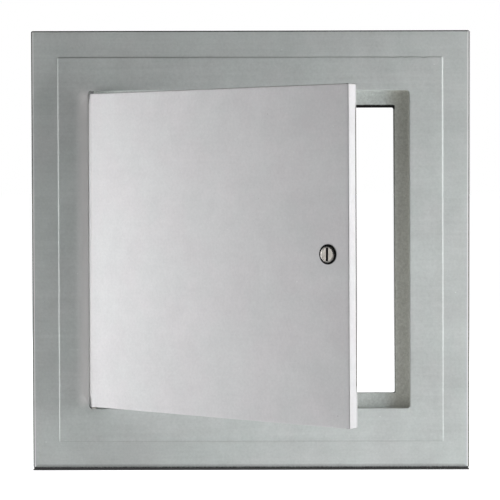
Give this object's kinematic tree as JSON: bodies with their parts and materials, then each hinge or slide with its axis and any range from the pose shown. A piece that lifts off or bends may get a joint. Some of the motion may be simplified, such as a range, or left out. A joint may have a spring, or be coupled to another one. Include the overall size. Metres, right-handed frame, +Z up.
{
  "type": "access panel",
  "caption": "Square hinged wall access panel: cast frame with a wide wall flange, rebated stop lip and a flush slab door on concealed pivots, held by a slotted cam latch.",
  "frame": {"origin": "on the flat back face of the flange, at the middle of its bottom edge", "axes": "+X to the right seen from the room, +Y into the wall through the opening, +Z up"},
  "size_m": [0.4256, 0.199, 0.4255],
  "materials": {
    "frame_gypsum": "matte",
    "door_gypsum": "matte",
    "nickel": "satin",
    "zinc_steel": "satin",
    "black_rubber": "matte",
    "nylon": "matte"
  },
  "bodies": {
    "frame": {"frame_casting": "frame_gypsum", "upper_socket_plate": "zinc_steel", "upper_socket_screws": "zinc_steel", "lower_socket_plate": "zinc_steel", "lower_socket_screws": "zinc_steel", "thrust_washer": "nylon"},
    "door": {"door_casting": "door_gypsum", "upper_pivot_plate": "zinc_steel", "upper_pivot_screws": "zinc_steel", "upper_pivot_pin": "zinc_steel", "lower_pivot_plate": "zinc_steel", "lower_pivot_screws": "zinc_steel", "lower_pivot_pin": "zinc_steel", "latch_gasket": "black_rubber", "latch_collar": "nickel", "latch_washer": "zinc_steel", "latch_nut": "zinc_steel"},
    "latch": {"latch_plug": "nickel", "latch_cam": "zinc_steel", "cam_screw": "zinc_steel"}
  },
  "joints": [
    {"name": "door_hinge", "type": "hinge", "parent": "frame", "child": "door", "pos_m": [-0.1537, -0.0097, 0.21275], "axis": [0, 0, -1], "range_deg": [-36.6, 68.4]},
    {"name": "latch_turn", "type": "hinge", "parent": "door", "child": "latch", "pos_m": [0.06842, -0.1784, 0.21395], "axis": [0.5962, 0.8028, 0], "range_deg": [-90, 0]}
  ]
}
